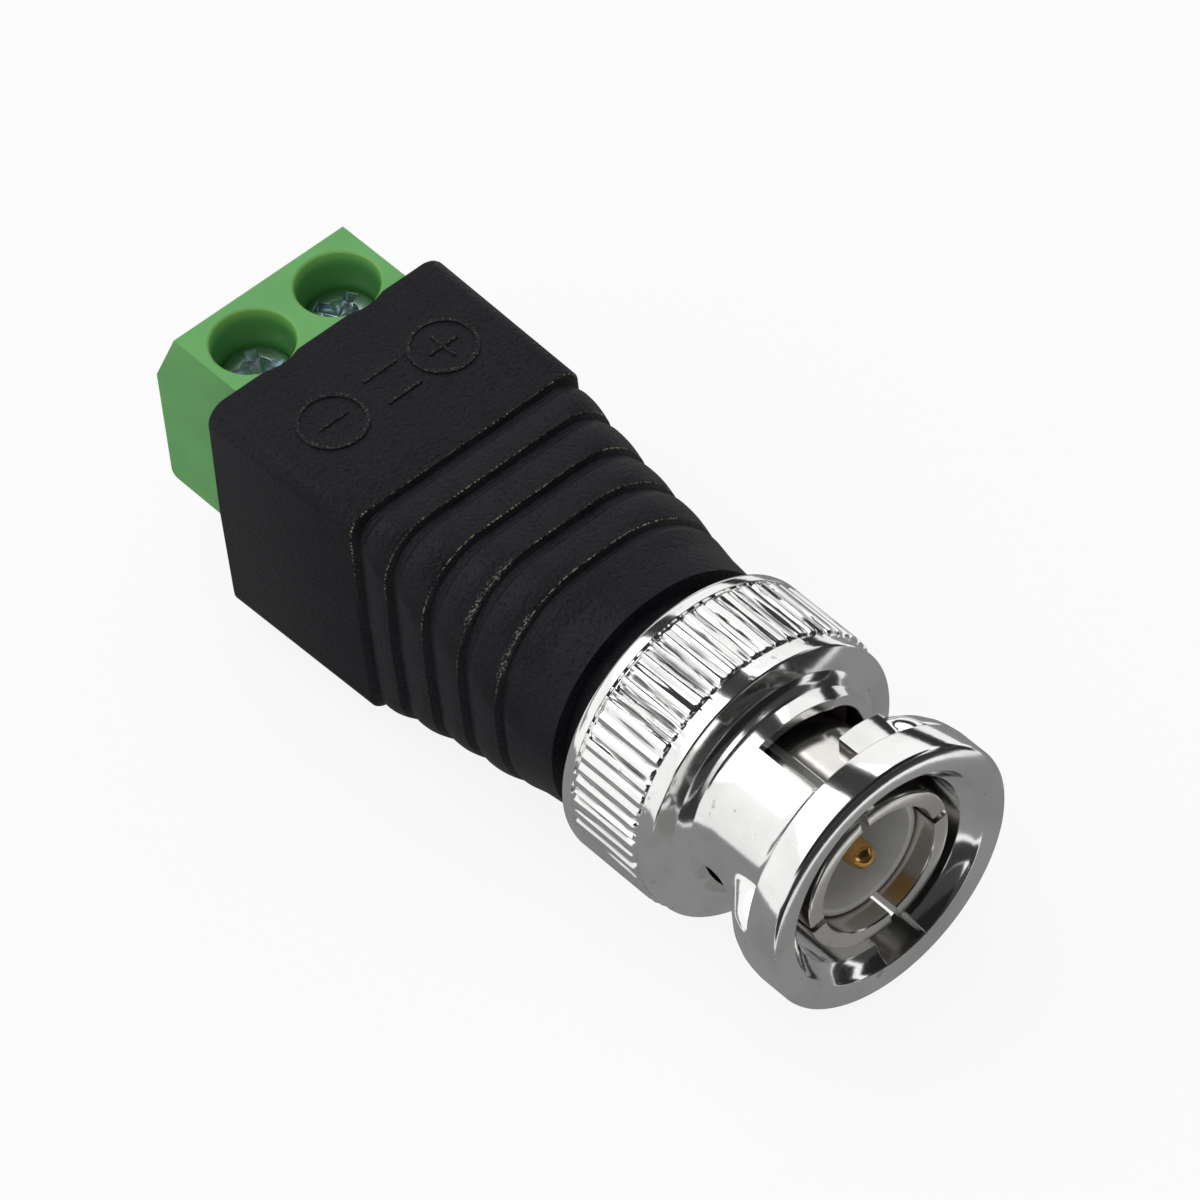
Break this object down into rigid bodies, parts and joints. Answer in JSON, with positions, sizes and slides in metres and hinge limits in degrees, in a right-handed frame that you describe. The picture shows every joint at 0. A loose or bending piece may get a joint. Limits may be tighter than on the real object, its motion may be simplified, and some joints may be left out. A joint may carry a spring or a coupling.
{
  "type": "bnc screw terminal adapter",
  "caption": "Bayonet coaxial plug with knurled coupling nut on a ribbed black moulding that turns from round to square and holds a green screw terminal block.",
  "frame": {"origin": "on the plug's axis, at the front rim of its outer contact", "axes": "+X points out of the plug along its axis, +Z is the side with the screw heads and polarity marks, +Y is the plus side"},
  "size_m": [0.0442, 0.0148, 0.0148],
  "materials": {
    "nickel": "bright nickel plate",
    "dielectric": "translucent grey-white",
    "gold": "gold plated",
    "silicone": "dark red, matt",
    "spring_steel": "plain",
    "tinned_brass": "tinned, satin",
    "black_plastic": "fine grain",
    "green_plastic": "satin",
    "zinc_steel": "blue zinc plate",
    "copper_wire": "tinned copper",
    "solder": "bright"
  },
  "bodies": {
    "core": {"plug_body": "nickel", "insulator": "dielectric", "centre_pin": "gold", "gasket": "silicone", "wave_washer_a": "spring_steel", "wave_washer_b": "spring_steel", "retaining_ring": "spring_steel", "ground_lug": "tinned_brass", "overmould_body": "black_plastic", "terminal_housing": "green_plastic", "contact_cage_plus": "tinned_brass", "contact_cage_minus": "tinned_brass", "lead_plus": "copper_wire", "lead_minus": "copper_wire", "solder_joint_plus": "solder", "solder_joint_minus": "solder", "solder_joint_pin": "solder", "solder_joint_lug": "solder"},
    "washer": {"thrust_washer": "spring_steel"},
    "nut": {"coupling_nut": "nickel"},
    "guard_plus": {"wire_guard_plus": "tinned_brass"},
    "screw_plus": {"screw_plus": "zinc_steel"},
    "guard_minus": {"wire_guard_minus": "tinned_brass"},
    "screw_minus": {"screw_minus": "zinc_steel"}
  },
  "joints": [
    {"name": "nut_slide", "type": "slide", "parent": "core", "child": "washer", "axis": [1, 0, 0], "range_m": [0, 0.0005], "stiffness_N_per_m": 12000, "springref_m": -0.0005, "deforming": ["wave_washer_a", "wave_washer_b"]},
    {"name": "nut_turn", "type": "hinge", "parent": "washer", "child": "nut", "pos_m": [-0.0117, 0, 0], "axis": [1, 0, 0], "continuous": true},
    {"name": "guard_plus_slide", "type": "slide", "parent": "core", "child": "guard_plus", "axis": [0, 0, -1], "range_m": [0, 0.0016]},
    {"name": "screw_plus_turn", "type": "hinge", "parent": "guard_plus", "child": "screw_plus", "pos_m": [-0.03905, 0.00254, 0.0034], "axis": [0, 0, -1], "range_deg": [0, 1153]},
    {"name": "guard_minus_slide", "type": "slide", "parent": "core", "child": "guard_minus", "axis": [0, 0, -1], "range_m": [0, 0.0016]},
    {"name": "screw_minus_turn", "type": "hinge", "parent": "guard_minus", "child": "screw_minus", "pos_m": [-0.03905, -0.00254, 0.0034], "axis": [0, 0, -1], "range_deg": [0, 1153]}
  ],
  "couplings": [
    {"joint": "screw_plus_turn", "follows": "guard_plus_slide", "rad_per_m": 12566},
    {"joint": "screw_minus_turn", "follows": "guard_minus_slide", "rad_per_m": 12566}
  ]
}
